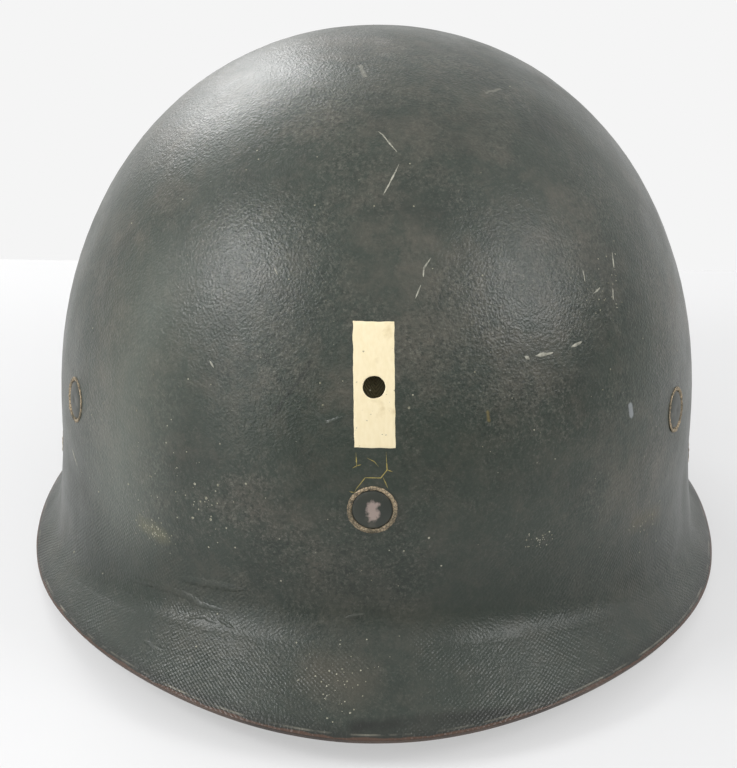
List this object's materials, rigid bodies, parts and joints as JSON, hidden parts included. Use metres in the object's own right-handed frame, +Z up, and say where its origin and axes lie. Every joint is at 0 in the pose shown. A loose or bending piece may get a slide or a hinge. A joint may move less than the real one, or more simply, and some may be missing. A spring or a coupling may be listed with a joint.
{
  "type": "steel pot helmet liner",
  "caption": "Domed laminate helmet liner with a flared brim, riveted web suspension, leather sweatband, nape band and swivelling chinstrap loops.",
  "frame": {"origin": "on the plane the rim rests on, under the middle of the shell's box", "axes": "+Z up to the crown, -Y to the front of the brim, +X to the wearer's left"},
  "size_m": [0.2308, 0.2744, 0.1695],
  "materials": {
    "shell_laminate": "semi-matt dark green-grey paint over moulded resin-bonded cotton cloth, brown where bare",
    "cotton_web": "khaki herringbone cotton webbing",
    "sweatband_leather": "worn brown leather",
    "rivet_steel": "steel, dark painted heads",
    "washer_steel": "pressed steel, thin dark green paint",
    "clip_steel": "spring steel, blackened and worn",
    "buckle_steel": "pressed steel, dull",
    "snap_brass": "blackened brass",
    "stud_steel": "steel, dark painted head",
    "loop_steel": "steel, thin dark green paint"
  },
  "bodies": {
    "helmet": {"liner_shell": "shell_laminate", "suspension_web_band": "cotton_web", "suspension_rivet_front": "rivet_steel", "suspension_washer_front": "washer_steel", "suspension_rivet_front_left": "rivet_steel", "suspension_washer_front_left": "washer_steel", "suspension_rivet_rear_left": "rivet_steel", "suspension_washer_rear_left": "washer_steel", "suspension_rivet_rear": "rivet_steel", "suspension_washer_rear": "washer_steel", "suspension_rivet_rear_right": "rivet_steel", "suspension_washer_rear_right": "washer_steel", "suspension_rivet_front_right": "rivet_steel", "suspension_washer_front_right": "washer_steel", "crown_strap_front": "cotton_web", "crown_strap_front_left": "cotton_web", "crown_strap_rear_left": "cotton_web", "sweatband": "sweatband_leather", "sweatband_buckle": "buckle_steel", "sweatband_clip_1": "clip_steel", "sweatband_clip_2": "clip_steel", "sweatband_clip_3": "clip_steel", "sweatband_clip_4": "clip_steel", "sweatband_clip_5": "clip_steel", "sweatband_clip_6": "clip_steel", "nape_rivet_left": "rivet_steel", "nape_washer_left": "washer_steel", "nape_rivet_middle": "rivet_steel", "nape_washer_middle": "washer_steel", "nape_rivet_right": "rivet_steel", "nape_washer_right": "washer_steel", "nape_strap": "cotton_web", "nape_tab": "cotton_web", "nape_snap": "snap_brass", "chinstrap_stud_left": "stud_steel", "chinstrap_stud_right": "stud_steel"},
    "loop_left": {"chinstrap_loop_left": "loop_steel"},
    "loop_right": {"chinstrap_loop_right": "loop_steel"}
  },
  "joints": [
    {"name": "left_loop_swivel", "type": "hinge", "parent": "helmet", "child": "loop_left", "pos_m": [0.09869, 0.00416, 0.03361], "axis": [0.9978, -0.0315, 0.058], "range_deg": [-70, 70]},
    {"name": "right_loop_swivel", "type": "hinge", "parent": "helmet", "child": "loop_right", "pos_m": [-0.09869, 0.00416, 0.03361], "axis": [-0.9978, -0.0315, 0.058], "range_deg": [-70, 70]}
  ]
}
